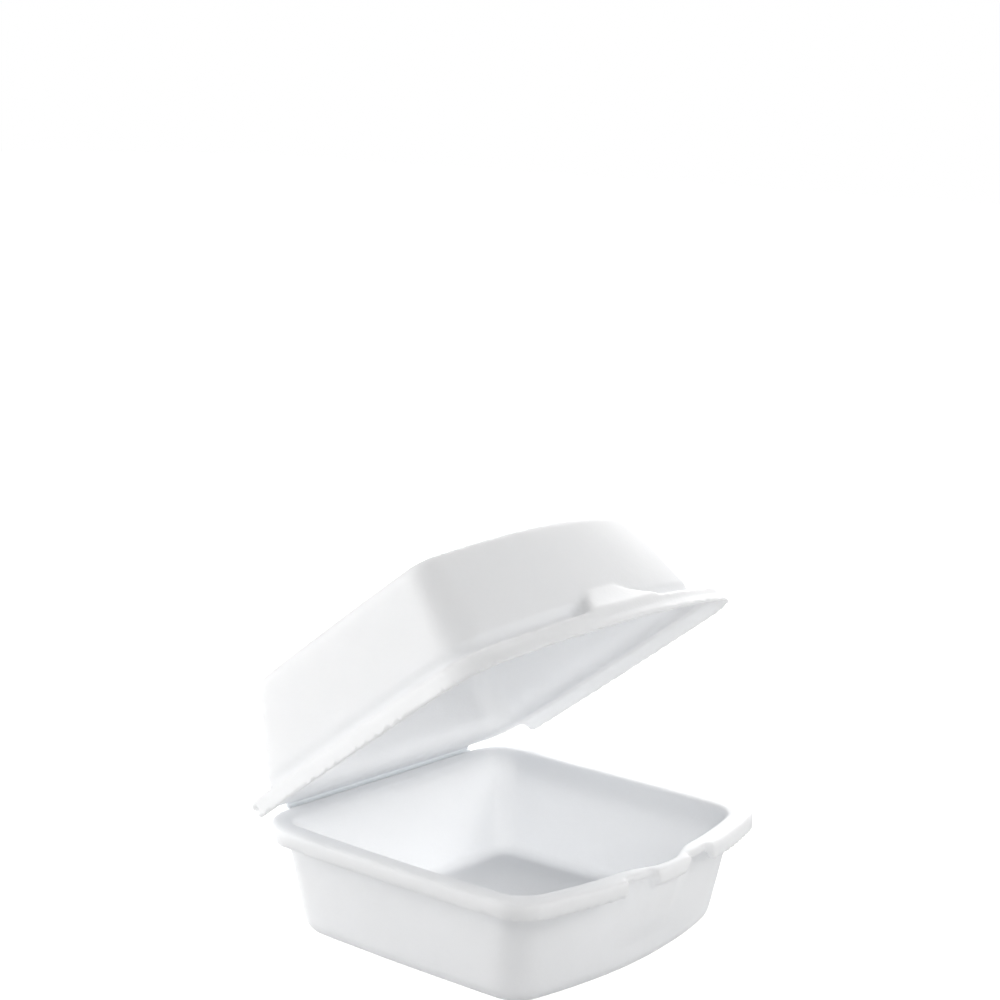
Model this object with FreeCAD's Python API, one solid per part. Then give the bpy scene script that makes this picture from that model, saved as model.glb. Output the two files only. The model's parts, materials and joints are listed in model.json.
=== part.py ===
import FreeCAD, Part
import math
import os

# Hinged foam sandwich container, thermoformed from one expanded-polystyrene sheet.
# All lengths in millimetres, +Z up, front lock towards -Y, hinge towards +Y.
# Origin: on the table, under the middle of the tray's underside.

V = FreeCAD.Vector

# Driving dimensions
TRAY_HALF_WIDTH = 65.5      # tray rim, middle of the sides
TRAY_DEPTH = 37.3           # table to the tray's rim face
LID_HEIGHT = 37.6           # parting face to the lid's top
FRONT_REACH = 60.0          # tray rim, middle of the bowed front
HINGE_Y = 60.5              # hinge line, behind the origin
HINGE_GAP = 1.3             # flange edge to hinge line
SHEET = 2.5                 # foam sheet
FLANGE = 2.5                # thickness of the flange
LIP_DROP = 5.3              # rim lip of the tray, rim face to its lower edge
LIP_SHEET = 2.2             # thickness of the lip
OVERHANG = 5.5              # flange beyond the wall
BACK_OVERHANG = 4.4         # flange beyond the wall, hinge side
WALL_DRAFT = 6.2            # how far the tray's walls lean in from rim to floor
FRONT_BOW = 11.0            # how far the middle of the front stands ahead of its corners
SIDE_BOW = 2.0              # the same for the sides
RIM_CORNER = 13.0           # tray rim front corners seen from above
REAR_RIM_CORNER = 17.5      # tray rim corners at the hinge
WALL_CORNER = 12.0          # tray wall front corners below the flange
REAR_WALL_CORNER = 10.0     # tray wall corners at the hinge, top to floor
FLOOR_CORNER = 13.0         # tray floor front corners seen from above
FLOOR_EDGE = 7.2            # round from wall to floor, outside
LID_CLEARANCE = 2.0         # lid lip outside the tray's rim
LID_SEAT = 0.3              # air between the two flanges when shut
LID_LIP_DROP = 3.7          # lid lip below the parting face
LID_LIP_FLARE = 2.5         # lid lip leans out by this much
LID_REAR_CORNER = 13.0      # lid rim corners at the hinge
LID_LIP_END = 10.0          # lid lip stops this far ahead of the hinge-side edge
LID_SIDE_DRAFT = 9.5        # lid walls lean in, sides
LID_FRONT_DRAFT = 7.2       # lid walls lean in, front
LID_BACK_DRAFT = 7.0        # lid walls lean in, hinge side
LID_FOOT_CORNER = 14.5      # lid wall front corners at the flange
LID_TOP_CORNER = 10.0       # lid top front corners seen from above
REAR_TOP_CORNER = 13.0      # lid top corners at the hinge
LID_TOP_EDGE = 3.4          # round from wall to top, outside
RIM_EDGE = 1.0              # rounded outer edge of the rims
MOUTH_EDGE = 2.2            # rounded inner edge of the tray's rim
LID_MOUTH_EDGE = 1.2        # rounded inner edge of the lid's rim
LOCK_HALF_WIDTH = 27.0      # lip of the tray cut away over this half width
LOCK_SLOPE = 10.0           # run of the slanting ends of that cut
NOTCH_HALF_WIDTH = 23.0     # flange cut back over this half width, either side of the catch
NOTCH_START = 9.0           # half width of the flange left whole above the catch
NOTCH_DEPTH = 2.4           # depth of those notches
NOTCH_CORNER = 1.6          # rounded inner corners of the notches
CATCH_HALF_WIDTH = 8.0      # catch under the middle of the tray's flange
CATCH_DROP = 5.8            # rim face to the foot of the catch
CATCH_SETBACK = 0.3         # face of the catch behind the edge of the flange
CATCH_FACE = 2.2            # height of that face below the flange
CATCH_EDGE = 1.2            # rounded ends of the catch
NOSE_PROUD = 4.4            # how far the wall swells out under the lock, just below the flange
NOSE_HALF_WIDTH = 19.0      # half width of that nose at the wall
NOSE_FOOT = 8.0             # lower end of the nose above the table
NOSE_RISE = ((0.0, -0.2), (0.3, 0.5), (0.6, 0.85), (1.0, 1.0))  # share of height, of proudness
NOSE_ACROSS = ((1.0, 0.0), (0.6, 0.45), (0.3, 0.92))            # share of half width, of proudness
TONGUE_HALF_WIDTH = 20.0    # thumb tongue at the middle of the lid's front
TONGUE_RISE = 8.0           # flange top to the top of the tongue
TONGUE_SAG = 0.6            # hollow of the tongue's sweep
TONGUE_TAPER = 0.4          # width of the tongue at its top, to that at the rim
TONGUE_SETBACK = 0.5        # foot of the tongue's sweep behind the edge of the rim
TONGUE_EDGE = 3.0           # rounded flanks of the tongue
WEB = 0.8                   # crushed foam of the living hinge
OPEN_ANGLE = 37.5           # lid as it stands in the rest pose


class Outline:
    """Rim or floor outline: straight back, bowed sides and front, rounded corners."""

    def __init__(self, half_width, back, front, rear_corner, front_corner):
        half_length = (back + front) / 2
        self.side_radius = (half_length ** 2 + SIDE_BOW ** 2) / (2 * SIDE_BOW)
        self.side_centre = (half_width - self.side_radius, (back - front) / 2)
        self.front_radius = (half_width ** 2 + FRONT_BOW ** 2) / (2 * FRONT_BOW)
        self.front_centre = (0.0, self.front_radius - front)
        self.back = back
        self.rear_corner = rear_corner
        self.front_corner = front_corner

    def inset(self, by, rear_corner=None, front_corner=None):
        """Parallel outline, smaller by the given distance all round."""
        copy = Outline.__new__(Outline)
        copy.side_radius = self.side_radius - by
        copy.side_centre = self.side_centre
        copy.front_radius = self.front_radius - by
        copy.front_centre = self.front_centre
        copy.back = self.back - by
        copy.rear_corner = self.rear_corner - by if rear_corner is None else rear_corner
        copy.front_corner = self.front_corner - by if front_corner is None else front_corner
        copy.rear_corner = max(copy.rear_corner, 1.0)
        copy.front_corner = max(copy.front_corner, 1.0)
        return copy

    def with_back(self, back):
        """The same outline with its straight back moved."""
        copy = self.inset(0.0)
        copy.back = back
        return copy

    def corner_centres(self):
        """Centres of the right-hand corner rounds, rear then front."""
        sx, sy = self.side_centre
        fx, fy = self.front_centre
        rear_y = self.back - self.rear_corner
        reach = self.side_radius - self.rear_corner
        rear = (sx + math.sqrt(reach ** 2 - (rear_y - sy) ** 2), rear_y)
        r1 = self.side_radius - self.front_corner
        r2 = self.front_radius - self.front_corner
        dx, dy = fx - sx, fy - sy
        gap = math.hypot(dx, dy)
        along = (r1 ** 2 - r2 ** 2 + gap ** 2) / (2 * gap)
        across = math.sqrt(r1 ** 2 - along ** 2)
        ux, uy = dx / gap, dy / gap
        options = [(sx + ux * along + side * uy * across, sy + uy * along - side * ux * across)
                   for side in (-1, 1)]
        front = min((p for p in options if p[0] > 0), key=lambda p: p[1])
        return rear, front

    def wire(self, z):
        """Closed wire of one line and seven tangent arcs at height z."""
        rear, front = self.corner_centres()

        def on_circle(centre, radius, towards):
            dx, dy = towards[0] - centre[0], towards[1] - centre[1]
            size = math.hypot(dx, dy)
            return (centre[0] + dx / size * radius, centre[1] + dy / size * radius)

        def arc(centre, radius, start, end):
            middle = ((start[0] + end[0]) / 2, (start[1] + end[1]) / 2)
            via = on_circle(centre, radius, middle)
            return Part.Arc(V(*start, z), V(*via, z), V(*end, z)).toShape()

        def mirror(point):
            return (-point[0], point[1])

        a = (rear[0], self.back)
        b = on_circle(self.side_centre, self.side_radius, rear)
        c = on_circle(self.side_centre, self.side_radius, front)
        d = on_circle(self.front_centre, self.front_radius, front)
        edges = [
            Part.makeLine(V(*mirror(a), z), V(*a, z)),
            arc(rear, self.rear_corner, a, b),
            arc(self.side_centre, self.side_radius, b, c),
            arc(front, self.front_corner, c, d),
            arc(self.front_centre, self.front_radius, d, mirror(d)),
            arc(mirror(front), self.front_corner, mirror(d), mirror(c)),
            arc(mirror(self.side_centre), self.side_radius, mirror(c), mirror(b)),
            arc(mirror(rear), self.rear_corner, mirror(b), mirror(a)),
        ]
        return Part.Wire(edges)


def prism(outline, low, high):
    """Upright block of an outline between two heights."""
    return Part.Face(outline.wire(low)).extrude(V(0, 0, high - low))


def tapered(outline_a, z_a, outline_b, z_b):
    """Straight-sided solid between two outlines."""
    return Part.makeLoft([outline_a.wire(z_a), outline_b.wire(z_b)], True, True)


def edges_at(shape, z, test=None):
    """Edges lying flat at height z, that also pass the given test when there is one."""
    found = []
    for edge in shape.Edges:
        box = edge.BoundBox
        if abs(box.ZMin - z) > 1e-4 or abs(box.ZMax - z) > 1e-4:
            continue
        if test is None or test(edge):
            found.append(edge)
    return found


def round_edges(shape, z, radius, test=None):
    """Round the flat edges at height z."""
    return shape.makeFillet(radius, edges_at(shape, z, test))


def slab(x_half, y_low, y_high, z_low, z_high):
    """Box centred on x = 0."""
    return Part.makeBox(2 * x_half, y_high - y_low, z_high - z_low, V(-x_half, y_low, z_low))


def wedge(profile_yz, x_half):
    """Straight bar along X of a profile given as (y, z) points."""
    points = [V(-x_half, y, z) for y, z in profile_yz]
    face = Part.Face(Part.makePolygon(points + points[:1]))
    return face.extrude(V(2 * x_half, 0, 0))


def trapezoid(bottom_half, z_bottom, top_half, z_top, y_low, y_high):
    """Bar along Y of a trapezoid centred on x = 0."""
    points = [V(-bottom_half, y_low, z_bottom), V(bottom_half, y_low, z_bottom),
              V(top_half, y_low, z_top), V(-top_half, y_low, z_top)]
    face = Part.Face(Part.makePolygon(points + points[:1]))
    return face.extrude(V(0, y_high - y_low, 0))


# Outlines
BACK_EDGE = HINGE_Y - HINGE_GAP
TRAY_RIM = Outline(TRAY_HALF_WIDTH, BACK_EDGE, FRONT_REACH, REAR_RIM_CORNER, RIM_CORNER)
TRAY_WALL = TRAY_RIM.inset(OVERHANG, REAR_WALL_CORNER, WALL_CORNER)
TRAY_WALL = TRAY_WALL.with_back(BACK_EDGE - BACK_OVERHANG)
TRAY_FLOOR = TRAY_WALL.inset(WALL_DRAFT, REAR_WALL_CORNER, FLOOR_CORNER)

LID_OUT = LID_CLEARANCE + LIP_SHEET
LID_RIM = TRAY_RIM.inset(-LID_OUT, LID_REAR_CORNER, RIM_CORNER + LID_OUT).with_back(BACK_EDGE)
LID_WALL = LID_RIM.inset(OVERHANG, REAR_WALL_CORNER, LID_FOOT_CORNER)
LID_WALL = LID_WALL.with_back(BACK_EDGE - BACK_OVERHANG)


def lid_top_outline(inset):
    """Outline of the lid's top, each side leaning in by its own draft."""
    half = TRAY_HALF_WIDTH + LID_OUT - OVERHANG - LID_SIDE_DRAFT - inset
    back = BACK_EDGE - BACK_OVERHANG - LID_BACK_DRAFT - inset
    front = FRONT_REACH + LID_OUT - OVERHANG - LID_FRONT_DRAFT - inset
    return Outline(half, back, front, REAR_TOP_CORNER - inset, LID_TOP_CORNER - inset)


def tray_shell():
    """Tray without its lock: floor, walls, flange and downturned lip."""
    top = TRAY_DEPTH
    outer = tapered(TRAY_FLOOR, 0.0, TRAY_WALL, top)
    outer = round_edges(outer, 0.0, FLOOR_EDGE)
    cavity = tapered(TRAY_FLOOR.inset(SHEET), SHEET, TRAY_WALL.inset(SHEET), top)
    cavity = round_edges(cavity, SHEET, FLOOR_EDGE - SHEET)
    rim = prism(TRAY_RIM, top - LIP_DROP, top)
    rim = round_edges(rim, top, RIM_EDGE)
    under = prism(TRAY_RIM.inset(LIP_SHEET), top - LIP_DROP, top - FLANGE)
    behind = slab(2 * TRAY_HALF_WIDTH, BACK_EDGE - REAR_RIM_CORNER * 0.6, HINGE_Y,
                  top - LIP_DROP, top - FLANGE)
    rim = rim.cut(under).cut(behind)
    return outer.fuse(rim).cut(cavity)


def nose_outline(z, proud, shift):
    """Section at height z of a block behind the swollen wall, moved inwards by the shift."""
    wall = -FRONT_REACH + OVERHANG + WALL_DRAFT * (1 - z / TRAY_DEPTH) + shift
    inside = -FRONT_REACH + OVERHANG + WALL_DRAFT + FRONT_BOW
    right = []
    for across, share in NOSE_ACROSS:
        x = across * NOSE_HALF_WIDTH
        bow = x ** 2 / (2 * TRAY_RIM.front_radius)
        right.append((x, wall + bow - proud * share))
    centre = (0.0, wall - proud)
    left = [(-x, y) for x, y in reversed(right)]
    ends = [(-NOSE_HALF_WIDTH, inside), (NOSE_HALF_WIDTH, inside)]
    points = [V(x, y, z) for x, y in right + [centre] + left + ends]
    return Part.makePolygon(points + points[:1])


def lock_nose(top, shift):
    """Block behind the swell of the front wall under the lock, from its foot up to the top."""
    height = TRAY_DEPTH - NOSE_FOOT
    wires = [nose_outline(NOSE_FOOT + height * rise, NOSE_PROUD * share, shift)
             for rise, share in NOSE_RISE]
    block = Part.makeLoft(wires, True, True)
    return block.common(slab(TRAY_HALF_WIDTH, -2 * FRONT_REACH, HINGE_Y, 0.0, top))


def tray_lock():
    """Cut in the lip at the middle of the front, notches in the flange, and the catch."""
    top = TRAY_DEPTH
    low = top - LIP_DROP
    front_low, front_high = -FRONT_REACH - 1.0, -FRONT_REACH + OVERHANG + FRONT_BOW
    cut = trapezoid(LOCK_HALF_WIDTH, low - 1.0, LOCK_HALF_WIDTH - LOCK_SLOPE, top - FLANGE,
                    front_low, front_high)
    cut = cut.cut(tapered(TRAY_FLOOR, 0.0, TRAY_WALL, top))
    notch = slab(NOTCH_HALF_WIDTH, front_low, front_high, low - 1.0, top + 1.0)
    notch = notch.cut(prism(TRAY_RIM.inset(NOTCH_DEPTH), low - 1.0, top + 1.0))
    uprights = [edge for edge in notch.Edges
                if edge.BoundBox.ZLength > LIP_DROP and edge.BoundBox.YMin > front_low + 0.5]
    notch = notch.makeFillet(NOTCH_CORNER, uprights)
    notch = notch.cut(slab(NOTCH_START, front_low - 1.0, front_high, low - 2.0, top + 2.0))
    edge_y = -FRONT_REACH + CATCH_SETBACK
    foot_y = -FRONT_REACH + OVERHANG - NOSE_PROUD + SHEET / 4
    root_y = foot_y + SHEET / 2
    inside = top - FLANGE / 2
    profile = [(edge_y, inside), (edge_y, top - FLANGE - CATCH_FACE), (foot_y, top - CATCH_DROP),
               (root_y, top - CATCH_DROP), (root_y, inside)]
    catch = wedge(profile, CATCH_HALF_WIDTH)
    ends = [edge for edge in catch.Edges
            if abs(edge.Vertexes[0].X - edge.Vertexes[1].X) < 1e-6
            and edge.BoundBox.YMax < foot_y + SHEET / 4 and edge.BoundBox.ZMin < inside - 0.1]
    catch = catch.makeFillet(CATCH_EDGE, ends)
    return cut, notch, catch


def on_ring(outline, z):
    """Test for the edges that lie along an outline at height z."""
    ring = outline.wire(z)

    def along(edge):
        middle = edge.valueAt((edge.FirstParameter + edge.LastParameter) / 2)
        return ring.distToShape(Part.Vertex(middle))[0] < 0.05
    return along


def make_tray():
    """The whole tray in place."""
    cut, notch, catch = tray_lock()
    core = tapered(TRAY_FLOOR.inset(SHEET), SHEET, TRAY_WALL.inset(SHEET), TRAY_DEPTH)
    mouth = on_ring(TRAY_WALL.inset(SHEET), TRAY_DEPTH)
    tray = round_edges(tray_shell().cut(cut), TRAY_DEPTH, MOUTH_EDGE, mouth)
    nose = lock_nose(TRAY_DEPTH - FLANGE / 2, 0.0).cut(core)
    tray = tray.fuse(nose).cut(notch).fuse(catch)
    return tray.cut(lock_nose(TRAY_DEPTH, SHEET)).removeSplitter()


def lid_tongue(inset):
    """Thumb tongue: the front wall sweeping out to the rim, smaller by the inset."""
    base = TRAY_DEPTH + LID_SEAT
    shelf = base + FLANGE
    front = -(FRONT_REACH + LID_OUT)
    wall_y = front + OVERHANG
    lean = LID_FRONT_DRAFT * TONGUE_RISE / LID_HEIGHT
    edge_y = front + TONGUE_SETBACK + inset
    depth = wall_y + FRONT_BOW
    low, high = shelf - 1.0 - inset, shelf + TONGUE_RISE - inset
    half = TONGUE_HALF_WIDTH - inset
    foot = V(-half, edge_y, shelf + 0.5)
    tip = V(-half, wall_y + lean + inset, high)
    sag = V(0.0, TONGUE_SAG, 0.0)
    sweep = Part.Arc(foot, (foot + tip) * 0.5 + sag, tip).toShape()
    corners = [tip, V(-half, depth, high), V(-half, depth, low), V(-half, edge_y, low), foot]
    face = Part.Face(Part.Wire([sweep] + Part.makePolygon(corners).Edges))
    bar = face.extrude(V(2 * half, 0, 0))
    ends = trapezoid(half, low, half * TONGUE_TAPER, high, edge_y - 1.0, depth)
    bar = bar.common(ends)
    slanted = [edge for edge in bar.Edges
               if edge.BoundBox.YMax < wall_y + lean + inset + 0.5
               and edge.BoundBox.ZLength > TONGUE_RISE / 2]
    bar = bar.makeFillet(max(TONGUE_EDGE - inset / 2, 1.0), slanted)
    within = LID_RIM.inset(TONGUE_SETBACK * 0.8 + inset)
    return bar.common(prism(within, base, shelf + TONGUE_RISE))


def make_lid_shut():
    """Lid in the shut pose, standing on the tray's rim."""
    base = TRAY_DEPTH + LID_SEAT
    shelf = base + FLANGE
    top = TRAY_DEPTH + LID_HEIGHT
    low = TRAY_DEPTH - LID_LIP_DROP
    outer = tapered(LID_WALL, base, lid_top_outline(0.0), top)
    outer = round_edges(outer, top, LID_TOP_EDGE)
    cavity = tapered(LID_WALL.inset(SHEET), base, lid_top_outline(SHEET), top - SHEET)
    cavity = round_edges(cavity, top - SHEET, LID_TOP_EDGE - SHEET * 0.6)
    flange = prism(LID_RIM, base, shelf)
    flange = round_edges(flange, shelf, RIM_EDGE)
    flared = LID_RIM.inset(-LID_LIP_FLARE)
    lip = tapered(flared, low, LID_RIM, base)
    hollow = tapered(flared.inset(LIP_SHEET), low, LID_RIM.inset(LIP_SHEET), base)
    lip = lip.cut(hollow)
    behind = slab(2 * TRAY_HALF_WIDTH, BACK_EDGE - LID_LIP_END, HINGE_Y + 5.0, low - 1.0, base)
    lip = lip.cut(behind)
    lid = outer.fuse(flange).fuse(lip).fuse(lid_tongue(0.0))
    lid = lid.cut(cavity)
    lid = round_edges(lid, base, LID_MOUTH_EDGE, on_ring(LID_WALL.inset(SHEET), base))
    return lid.cut(lid_tongue(SHEET)).removeSplitter()


def make_lid():
    """Lid in the rest pose, standing open about the hinge line."""
    lid = make_lid_shut()
    lid.rotate(V(0, HINGE_Y, TRAY_DEPTH), V(1, 0, 0), -OPEN_ANGLE)
    return lid


def make_web():
    """Living hinge: thin crushed strip from one flange to the other, folded at the hinge line."""
    rear, _ = TRAY_RIM.corner_centres()
    half = rear[0]
    bite = 0.6
    y0, z0 = HINGE_Y, TRAY_DEPTH
    reach = HINGE_GAP
    angle = math.radians(OPEN_ANGLE)

    def turned(y, z):
        dy, dz = y - y0, z - z0
        return (y0 + math.cos(angle) * dy + math.sin(angle) * dz,
                z0 - math.sin(angle) * dy + math.cos(angle) * dz)

    lid_low = turned(y0 - reach, z0 + LID_SEAT + 0.1)
    lid_high = turned(y0 - reach, z0 + LID_SEAT + 0.1 + WEB)
    profile = [(y0 - reach, z0 - 0.1 - WEB), (y0 - 0.1, z0 - 0.1 - WEB), (y0 + WEB, z0),
               lid_high, lid_low, (y0 - 0.1, z0), (y0 - reach, z0 - 0.1)]
    return wedge(profile, half - bite)


def main():
    os.makedirs("parts", exist_ok=True)
    nodes = {"base_tray": make_tray(), "lid": make_lid(), "living_hinge": make_web()}
    for name, shape in nodes.items():
        if not shape.isValid():
            raise ValueError(name + " is not a valid solid")
        shape.exportStep("parts/" + name + ".step")
        print(name, len(shape.Solids), round(shape.Volume), shape.BoundBox)


main()
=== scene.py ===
"""Small hinged sandwich container of white thermoformed foam, open on a pale floor.

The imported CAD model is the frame. Its three nodes are one foam sheet: the tray, the lid and the
crushed strip that they fold on. Each is shown by a softer skin made here, since foam has no sharp
creases, and the strip bends between the tray and the lid. Lengths are metres, angles degrees.
"""

import json
import logging
import math
from dataclasses import dataclass, field
from enum import Enum

import bmesh
import bpy
from mathutils import Matrix, Vector


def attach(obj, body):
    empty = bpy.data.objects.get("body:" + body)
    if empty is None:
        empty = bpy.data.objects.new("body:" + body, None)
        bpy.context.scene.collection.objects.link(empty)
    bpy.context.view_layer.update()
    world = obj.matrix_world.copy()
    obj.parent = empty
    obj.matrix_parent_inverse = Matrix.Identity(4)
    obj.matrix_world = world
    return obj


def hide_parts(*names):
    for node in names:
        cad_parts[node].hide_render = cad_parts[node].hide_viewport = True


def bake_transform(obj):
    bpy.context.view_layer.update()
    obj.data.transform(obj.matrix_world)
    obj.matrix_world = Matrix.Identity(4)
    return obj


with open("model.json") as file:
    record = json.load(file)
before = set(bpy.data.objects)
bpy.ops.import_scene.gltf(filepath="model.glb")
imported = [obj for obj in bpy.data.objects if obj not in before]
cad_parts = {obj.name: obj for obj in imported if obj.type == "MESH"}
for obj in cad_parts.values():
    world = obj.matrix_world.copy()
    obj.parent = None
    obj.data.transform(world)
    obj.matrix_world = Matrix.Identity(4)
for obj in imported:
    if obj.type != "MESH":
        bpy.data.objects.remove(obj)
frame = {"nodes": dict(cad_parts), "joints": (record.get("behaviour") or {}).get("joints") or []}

LOG = logging.getLogger("foam_container")
MM = 0.001

# Sizes about the parting face, as in the CAD source, and the grain of the lid's skin
TRAY_LIP = 5.3 * MM         # foot of the tray's lip below it
LID_LIP = 3.7 * MM          # foot of the lid's lip below it
FLANGE_AIR = 0.3 * MM       # air between the shut flanges
FLANGE_SHEET = 2.5 * MM     # thickness of a flange
LID_GRAIN = 0.92 * MM       # voxel of the lid's skin, coarser than the tray's for its larger area


class Body(Enum):
    """The two moving halves, by the names that the frame gives them."""

    TRAY = "tray"
    LID = "lid"


class FoamZone(Enum):
    """How the foam's surface was left by the mould, the trimming die or the hinge bar."""

    SKIN = "foam_moulded_skin"
    CUT = "foam_trimmed_edge"
    CRUSHED = "foam_crushed_hinge"


def linear(hex_colour: str) -> tuple[float, float, float, float]:
    """Turn an sRGB hex colour into linear RGBA.

    Args:
        hex_colour: Six hex digits after a hash sign.

    Returns:
        Red, green, blue and an alpha of one.
    """
    channels = [int(hex_colour[i:i + 2], 16) / 255 for i in (1, 3, 5)]
    turned = [c / 12.92 if c <= 0.04045 else ((c + 0.055) / 1.055) ** 2.4 for c in channels]
    return (*turned, 1.0)


def add_node(
    tree: bpy.types.NodeTree,
    kind: str,
    values: dict[str, object] | None = None,
    links: dict[str, bpy.types.NodeSocket] | None = None,
    **settings: object,
) -> bpy.types.Node:
    """Add one node with its settings, socket values and incoming links.

    Args:
        tree: Node tree to add to.
        kind: Blender's type name of the node.
        values: Socket name to value, for sockets that nothing is linked to.
        links: Socket name to the output that feeds it.
        settings: Properties of the node itself.

    Returns:
        The new node.
    """
    node = tree.nodes.new(kind)
    for name, value in settings.items():
        setattr(node, name, value)
    for name, value in (values or {}).items():
        node.inputs[name].default_value = value
    for name, output in (links or {}).items():
        tree.links.new(output, node.inputs[name])
    return node


def deselect_all() -> None:
    """Leave edit mode and deselect every object."""
    if bpy.context.object and bpy.context.object.mode != "OBJECT":
        bpy.ops.object.mode_set(mode="OBJECT")
    bpy.ops.object.select_all(action="DESELECT")


def make_active(obj: bpy.types.Object) -> None:
    """Select one object alone and make it the active one."""
    deselect_all()
    obj.select_set(True)
    bpy.context.view_layer.objects.active = obj


def apply_modifier(obj: bpy.types.Object, kind: str, **settings: object) -> None:
    """Add a modifier to an object and apply it at once.

    Args:
        obj: Mesh object to change.
        kind: Blender's type name of the modifier.
        settings: Properties of the modifier.
    """
    make_active(obj)
    modifier = obj.modifiers.new(kind.lower(), kind)
    for name, value in settings.items():
        setattr(modifier, name, value)
    bpy.ops.object.modifier_apply(modifier=modifier.name)


@dataclass(frozen=True)
class FoamFinish:
    """Expanded polystyrene foam sheet, extruded and then thermoformed.

    Its closed cells scatter light inside the sheet, so it looks soft and evenly white and lets a
    little light through. The mould leaves a satin skin, on which cell outlines just show.
    """

    zone: FoamZone
    colour: str
    mottle_colour: str
    roughness: float
    cell_mm: float
    cell_relief_mm: float
    patch_mm: float = 9.0
    patch_detail: float = 3.0
    patch_roughness: float = 0.55
    gloss_spread: float = 0.06
    scatter_mm: float = 8.0
    scatter_share: float = 1.0
    ior: float = 1.45

    def material(self) -> bpy.types.Material:
        """Build the procedural material.

        Returns:
            A material on Object coordinates.
        """
        material = bpy.data.materials.new(self.zone.value)
        material.use_nodes = True
        tree = material.node_tree
        tree.nodes.clear()
        place = add_node(tree, "ShaderNodeTexCoord").outputs["Object"]
        per_metre = 1 / MM
        # Denser and lighter patches of the sheet, a few cells across
        patches = add_node(
            tree, "ShaderNodeTexNoise",
            {
                "Scale": per_metre / self.patch_mm,
                "Detail": self.patch_detail,
                "Roughness": self.patch_roughness,
            },
            {"Vector": place},
        )
        colour = add_node(
            tree, "ShaderNodeMix",
            {"A": linear(self.colour), "B": linear(self.mottle_colour)},
            data_type="RGBA",
        )
        tree.links.new(patches.outputs["Fac"], colour.inputs["Factor"])
        # Cell outlines: real cells are 0.2 to 0.4 mm wide and are drawn wider so that they show
        cells = add_node(
            tree, "ShaderNodeTexVoronoi", {"Scale": per_metre / self.cell_mm},
            {"Vector": place}, feature="SMOOTH_F1",
        )
        bump = add_node(
            tree, "ShaderNodeBump",
            {"Strength": 1.0, "Distance": self.cell_relief_mm * MM},
            {"Height": cells.outputs["Distance"]},
        )
        gloss = add_node(
            tree, "ShaderNodeMapRange",
            {
                "To Min": self.roughness - self.gloss_spread,
                "To Max": self.roughness + self.gloss_spread,
            },
            {"Value": patches.outputs["Fac"]},
        )
        shader = add_node(
            tree, "ShaderNodeBsdfPrincipled",
            {
                "IOR": self.ior,
                "Subsurface Weight": self.scatter_share,
                "Subsurface Radius": (1.0, 1.0, 1.0),
                "Subsurface Scale": self.scatter_mm * MM,
            },
            {
                "Base Color": colour.outputs["Result"],
                "Roughness": gloss.outputs["Result"],
                "Normal": bump.outputs["Normal"],
            },
        )
        add_node(tree, "ShaderNodeOutputMaterial", links={"Surface": shader.outputs["BSDF"]})
        return material


FINISHES = {
    finish.zone: finish
    for finish in (
        FoamFinish(FoamZone.SKIN, "#F9FBFE", "#F6F9FD", 0.58, 0.9, 0.035),
        FoamFinish(FoamZone.CUT, "#FAFCFE", "#F5F8FC", 0.76, 0.8, 0.12),
        FoamFinish(FoamZone.CRUSHED, "#F1F4F7", "#E9EDF1", 0.42, 1.4, 0.05, scatter_mm=1.5),
    )
}


@dataclass
class Hinge:
    """The line that the lid turns about, read from the frame's joint."""

    axis: Vector = field(init=False)
    point: Vector = field(init=False)
    open_angle: float = field(init=False)

    def __post_init__(self) -> None:
        """Read the joint's place and how far the lid stands open at rest."""
        joint = frame["joints"][0]
        self.axis = Vector(joint["axis"])
        self.point = Vector(joint["pos_m"])
        self.open_angle = -joint["range_deg"][0]

    def shut(self) -> Matrix:
        """Transform from the rest pose to the shut pose."""
        turn = Matrix.Rotation(math.radians(-self.open_angle), 4, self.axis)
        return Matrix.Translation(self.point) @ turn @ Matrix.Translation(-self.point)


@dataclass(frozen=True)
class Fold:
    """The groove that the mould's edge presses into a wall just above its flange."""

    height: float
    depth: float = 0.9 * MM
    width: float = 5.5 * MM
    wall_up: float = 0.17
    spread: float = 0.36

    def share(self, height: float, up: float) -> float:
        """How far into the groove a point lies.

        Args:
            height: Height of the point with the lid shut.
            up: Upward part of the surface's normal there, with the lid shut.

        Returns:
            One in the middle of the groove, zero outside it.
        """
        rise = (height - self.height) / self.width
        if not 0.0 < rise < 1.0:
            return 0.0
        return math.sin(math.pi * rise) * max(0.0, 1.0 - abs(up - self.wall_up) / self.spread)


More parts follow.
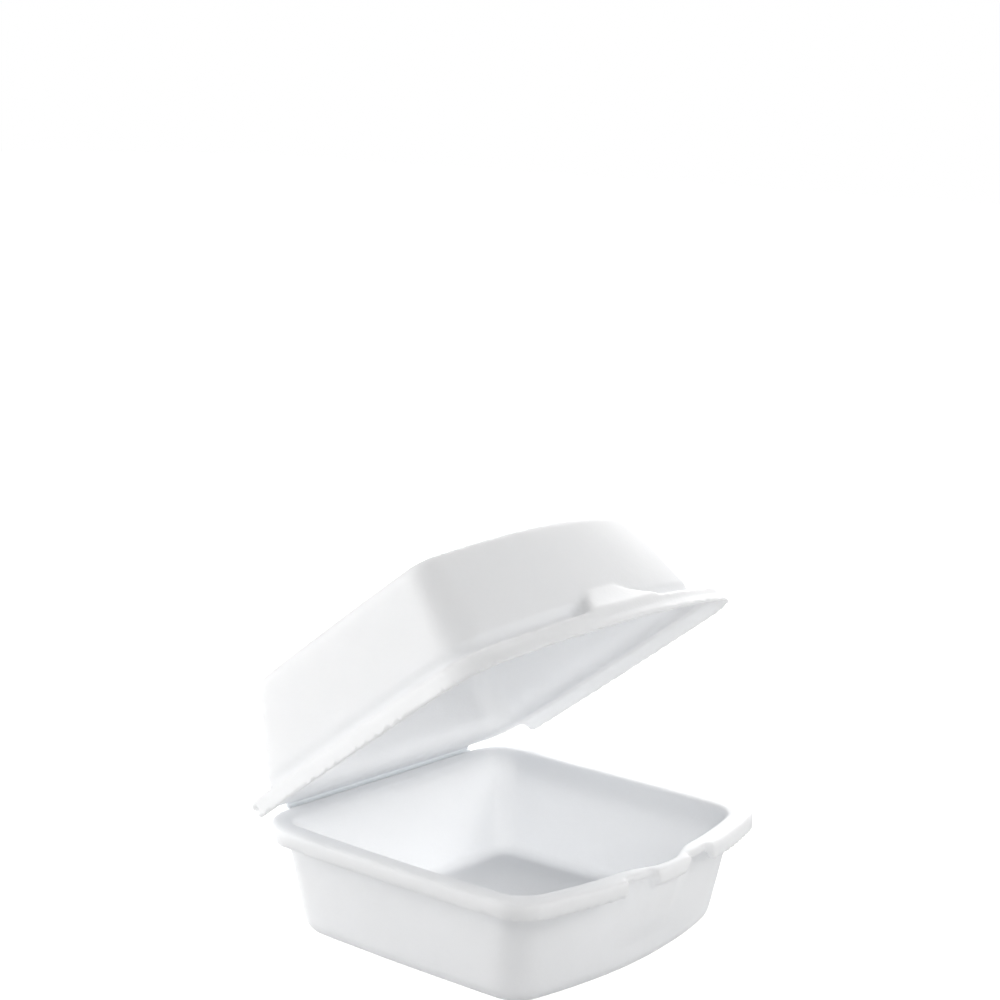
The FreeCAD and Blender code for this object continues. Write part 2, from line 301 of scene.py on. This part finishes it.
@dataclass
class FoamShell:
    """One moulded half: the CAD solid with its creases softened as in real foam."""

    name: str
    node: str
    body: Body
    to_shut: Matrix
    lip_foot: float
    fold: Fold | None = None
    grain: float = 0.80 * MM
    softening: int = 3
    softening_factor: float = 0.5
    merge_within: float = 0.005 * MM
    edge_band: float = 0.7 * MM
    edge_facing: float = 0.6
    sag_depth: float = 0.22 * MM
    sag_size: float = 34 * MM

    def build(self) -> bpy.types.Object:
        """Make the skin, dress it and put it on its body.

        Returns:
            The finished object.
        """
        skin = self.copy_solid()
        self.soften(skin)
        self.press_fold(skin)
        self.sway(skin)
        self.dress(skin)
        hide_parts(self.node)
        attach(skin, self.body.value)
        return skin

    def copy_solid(self) -> bpy.types.Object:
        """Copy the CAD node and merge its loose triangles."""
        source = frame["nodes"][self.node]
        skin = bpy.data.objects.new(self.name, source.data.copy())
        bpy.context.scene.collection.objects.link(skin)
        skin.data.materials.clear()
        make_active(skin)
        bpy.ops.mesh.customdata_custom_splitnormals_clear()
        bpy.ops.object.mode_set(mode="EDIT")
        bpy.ops.mesh.select_all(action="SELECT")
        bpy.ops.mesh.remove_doubles(threshold=self.merge_within)
        bpy.ops.object.mode_set(mode="OBJECT")
        return skin

    def soften(self, skin: bpy.types.Object) -> None:
        """Give the skin an even grain and round its creases."""
        apply_modifier(skin, "REMESH", mode="VOXEL", voxel_size=self.grain)
        apply_modifier(skin, "SMOOTH", factor=self.softening_factor, iterations=self.softening)

    def press_fold(self, skin: bpy.types.Object) -> None:
        """Press the groove above the flange, where the mould's edge pinches the sheet."""
        if self.fold is None:
            return
        group = skin.vertex_groups.new(name="fold")
        turn = self.to_shut.to_3x3()
        for vertex in skin.data.vertices:
            place = self.to_shut @ vertex.co
            share = self.fold.share(place.z, (turn @ vertex.normal).z)
            if share > 0.0:
                group.add([vertex.index], share, "REPLACE")
        apply_modifier(
            skin, "DISPLACE", strength=-self.fold.depth, mid_level=0.0,
            direction="NORMAL", vertex_group=group.name,
        )

    def sway(self, skin: bpy.types.Object) -> None:
        """Let the walls wander slightly off true, as a sheet does when it cools."""
        texture = bpy.data.textures.new(self.name + "_sway", "CLOUDS")
        texture.noise_scale = self.sag_size
        texture.noise_depth = 1
        apply_modifier(
            skin, "DISPLACE", texture=texture, texture_coords="LOCAL",
            strength=self.sag_depth, mid_level=0.5, direction="NORMAL",
        )

    def dress(self, skin: bpy.types.Object) -> None:
        """Give the faces the moulded skin, and the foot of the lip its trimmed edge."""
        for zone in (FoamZone.SKIN, FoamZone.CUT):
            skin.data.materials.append(MATERIALS[zone])
        turn = self.to_shut.to_3x3()
        for face in skin.data.polygons:
            centre = self.to_shut @ face.center
            down = -(turn @ face.normal).z
            at_foot = abs(centre.z - self.lip_foot) < self.edge_band
            face.material_index = 1 if at_foot and down > self.edge_facing else 0
            face.use_smooth = True


@dataclass
class HingeStrip:
    """The crushed strip between the two flanges, shaped round its fold with the lid at rest."""

    hinge: Hinge
    thickness: float = 0.8 * MM
    half_length: float = 46.0 * MM
    flange_gap: float = 1.3 * MM
    bite: float = 0.5 * MM
    fold_steps: int = 10
    bulge: float = 0.55 * MM
    below_parting: float = 0.1 * MM
    above_parting: float = 0.4 * MM
    edge_round: float = 0.2 * MM
    smooth_below: float = 50.0

    def ends(self) -> tuple[Vector, Vector]:
        """Middle of the strip's thickness where it leaves the tray and where it meets the lid."""
        y, z = self.hinge.point.y - self.flange_gap, self.hinge.point.z
        half = self.thickness / 2
        tray_end = Vector((0, y, z - half - self.below_parting))
        lid_end = self.hinge.shut().inverted() @ Vector((0, y, z + half + self.above_parting))
        return tray_end, lid_end

    def stations(self) -> list[Vector]:
        """Points along the strip's middle line, from inside one flange to inside the other."""
        tray_end, lid_end = self.ends()
        lid_back = self.hinge.shut().to_3x3().inverted() @ Vector((0, 1, 0))
        corner = Vector((0, self.hinge.point.y + self.bulge, self.hinge.point.z))
        points = [tray_end - Vector((0, self.bite, 0))]
        for step in range(self.fold_steps + 1):
            share = step / self.fold_steps
            near = tray_end.lerp(corner, share)
            far = corner.lerp(lid_end, share)
            points.append(near.lerp(far, share))
        points.append(lid_end - lid_back * self.bite)
        return points

    def build(self) -> bpy.types.Object:
        """Extrude the strip round its fold and hang it between the halves.

        Returns:
            The finished object.
        """
        points = self.stations()
        deselect_all()
        bpy.ops.mesh.primitive_plane_add(size=1.0, location=points[0])
        strip = bpy.context.object
        strip.name = "hinge_strip"
        strip.scale = (2 * self.half_length, self.thickness, 1.0)
        strip.rotation_euler = (math.radians(90), 0.0, 0.0)
        bpy.ops.object.transform_apply(location=True, rotation=True, scale=True)
        bpy.ops.object.mode_set(mode="EDIT")
        bpy.ops.mesh.select_all(action="SELECT")
        heading = 0.0
        for here, there in zip(points, points[1:]):
            step = there - here
            turned = math.atan2(step.z, step.y)
            bpy.ops.mesh.extrude_region_move(TRANSFORM_OT_translate={"value": step})
            bpy.ops.transform.rotate(
                value=heading - turned, orient_axis="X", orient_type="GLOBAL",
                center_override=there,
            )
            heading = turned
        bpy.ops.mesh.select_all(action="SELECT")
        bpy.ops.mesh.normals_make_consistent(inside=False)
        bpy.ops.object.mode_set(mode="OBJECT")
        apply_modifier(strip, "BEVEL", width=self.edge_round, segments=2, limit_method="ANGLE")
        make_active(strip)
        bpy.ops.object.shade_smooth_by_angle(angle=math.radians(self.smooth_below))
        strip.data.materials.append(MATERIALS[FoamZone.CRUSHED])
        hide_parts("living_hinge")
        tray_end, lid_end = self.ends()
        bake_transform(strip)
        return strip


@dataclass(frozen=True)
class Lamp:
    """A square soft box at an azimuth and elevation round the object."""

    name: str
    azimuth: float
    elevation: float
    watts: float
    size: float = 0.7
    distance: float = 1.3


def direction(azimuth: float, elevation: float) -> Vector:
    """Unit vector from the object towards a viewer or lamp.

    Args:
        azimuth: Zero stands in front of the lock, negative to its left.
        elevation: Above the horizon.

    Returns:
        The vector in the row frame.
    """
    a, e = math.radians(azimuth), math.radians(elevation)
    return Vector((math.sin(a) * math.cos(e), -math.cos(a) * math.cos(e), math.sin(e)))


@dataclass
class Studio:
    """Pale floor, white surround and soft lamps."""

    target: Vector = field(default_factory=lambda: Vector((0.0, 0.0, 60 * MM)))
    floor_size: float = 12.0
    sky_strength: float = 0.15
    floor_albedo: str = "#E6E6E6"
    floor_lift: float = 0.92
    lamps: tuple[Lamp, ...] = (
        Lamp("left_back", -150.0, 8.0, 13.4),
        Lamp("right_back", 118.0, 22.0, 11.4),
        Lamp("viewer_fill", -46.0, 32.0, 5.2),
        Lamp("right_front", 34.0, 30.0, 6.4),
    )

    def build(self) -> None:
        """Set the view transform and make world, floor and lamps."""
        bpy.context.scene.view_settings.view_transform = "Standard"
        self.make_world()
        self.make_floor()
        for lamp in self.lamps:
            self.make_lamp(lamp)

    @staticmethod
    def seen_directly(tree: bpy.types.NodeTree) -> bpy.types.NodeSocket:
        """One for camera, mirror and transmitted rays, and zero for the rays that light things."""
        path = add_node(tree, "ShaderNodeLightPath")
        mirror = add_node(tree, "ShaderNodeMath", operation="MAXIMUM")
        tree.links.new(path.outputs["Is Camera Ray"], mirror.inputs[0])
        tree.links.new(path.outputs["Is Glossy Ray"], mirror.inputs[1])
        total = add_node(tree, "ShaderNodeMath", operation="MAXIMUM")
        tree.links.new(mirror.outputs["Value"], total.inputs[0])
        tree.links.new(path.outputs["Is Transmission Ray"], total.inputs[1])
        return total.outputs["Value"]

    def make_world(self) -> None:
        """White where it is seen, soft light elsewhere."""
        world = bpy.data.worlds.new("studio")
        bpy.context.scene.world = world
        world.use_nodes = True
        tree = world.node_tree
        tree.nodes.clear()
        light = add_node(
            tree, "ShaderNodeBackground",
            {"Color": linear("#FFFFFF"), "Strength": self.sky_strength},
        )
        seen = add_node(
            tree, "ShaderNodeBackground", {"Color": linear("#FFFFFF"), "Strength": 1.0},
        )
        mix = add_node(tree, "ShaderNodeMixShader", links={"Fac": self.seen_directly(tree)})
        tree.links.new(light.outputs["Background"], mix.inputs[1])
        tree.links.new(seen.outputs["Background"], mix.inputs[2])
        add_node(tree, "ShaderNodeOutputWorld", links={"Surface": mix.outputs["Shader"]})

    def make_floor(self) -> None:
        """A pale sheet that shows as white except for the object's shadow."""
        deselect_all()
        bpy.ops.mesh.primitive_plane_add(size=self.floor_size)
        floor = bpy.context.object
        floor.name = "floor"
        material = bpy.data.materials.new("pale_paper")
        material.use_nodes = True
        tree = material.node_tree
        tree.nodes.clear()
        paper = add_node(tree, "ShaderNodeBsdfDiffuse", {"Color": linear(self.floor_albedo)})
        lift = add_node(
            tree, "ShaderNodeEmission",
            {"Color": linear("#FFFFFF"), "Strength": self.floor_lift},
        )
        shown = add_node(tree, "ShaderNodeAddShader")
        tree.links.new(paper.outputs["BSDF"], shown.inputs[0])
        tree.links.new(lift.outputs["Emission"], shown.inputs[1])
        mix = add_node(tree, "ShaderNodeMixShader", links={"Fac": self.seen_directly(tree)})
        tree.links.new(paper.outputs["BSDF"], mix.inputs[1])
        tree.links.new(shown.outputs["Shader"], mix.inputs[2])
        add_node(tree, "ShaderNodeOutputMaterial", links={"Surface": mix.outputs["Shader"]})
        floor.data.materials.append(material)

    def make_lamp(self, lamp: Lamp) -> None:
        """Place one soft box, facing the object."""
        light = bpy.data.lights.new(lamp.name, "AREA")
        light.shape = "SQUARE"
        light.size = lamp.size
        light.energy = lamp.watts
        holder = bpy.data.objects.new(lamp.name, light)
        bpy.context.scene.collection.objects.link(holder)
        towards = direction(lamp.azimuth, lamp.elevation)
        holder.location = self.target + towards * lamp.distance
        holder.rotation_mode = "QUATERNION"
        holder.rotation_quaternion = (-towards).to_track_quat("-Z", "Y")


@dataclass(frozen=True)
class Viewpoint:
    """The photograph's camera, from a fit of the rims and corners to it."""

    azimuth: float = -52.03
    elevation: float = 10.323
    roll: float = 2.504
    right_shift: float = -6.794 * MM
    rise: float = 109.231 * MM
    distance: float = 708.646 * MM
    pivot_height: float = 30 * MM
    lens: float = 79.2

    def build(self) -> bpy.types.Object:
        """Place the camera and make it the scene's.

        Returns:
            The camera object.
        """
        back = direction(self.azimuth, self.elevation)
        level = math.radians(self.azimuth)
        right = Vector((math.cos(level), math.sin(level), 0.0))
        up = back.cross(right)
        roll = math.radians(self.roll)
        rolled_right = math.cos(roll) * right + math.sin(roll) * up
        rolled_up = -math.sin(roll) * right + math.cos(roll) * up
        data = bpy.data.cameras.new("photo_camera")
        data.lens = self.lens
        data.clip_start = 0.01
        camera = bpy.data.objects.new("photo_camera", data)
        bpy.context.scene.collection.objects.link(camera)
        turn = Matrix((rolled_right, rolled_up, back)).transposed().to_4x4()
        place = Vector((0, 0, self.pivot_height)) + rolled_right * self.right_shift
        place += rolled_up * self.rise + back * self.distance
        camera.matrix_world = Matrix.Translation(place) @ turn
        bpy.context.scene.camera = camera
        return camera


MATERIALS: dict[FoamZone, bpy.types.Material] = {}


def triangles(obj: bpy.types.Object) -> int:
    """Count the triangles of a mesh object."""
    return sum(len(face.vertices) - 2 for face in obj.data.polygons)


def main() -> None:
    """Build the container's pieces, the studio and the camera, and log what was made."""
    logging.basicConfig(level=logging.INFO, format="%(name)s: %(message)s")
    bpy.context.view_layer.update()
    for zone, finish in FINISHES.items():
        MATERIALS[zone] = finish.material()
    hinge = Hinge()
    shut = hinge.shut()
    rim_height = hinge.point.z
    flange_top = rim_height + FLANGE_AIR + FLANGE_SHEET
    pieces = [
        FoamShell("tray_foam", "base_tray", Body.TRAY, Matrix.Identity(4),
                  rim_height - TRAY_LIP).build(),
        FoamShell("lid_foam", "lid", Body.LID, shut,
                  rim_height - LID_LIP, Fold(flange_top), LID_GRAIN).build(),
        HingeStrip(hinge).build(),
    ]
    for piece in pieces:
        LOG.info("%s has %d triangles", piece.name, triangles(piece))
    Studio().build()
    Viewpoint().build()


if __name__ == "__main__":
    main()
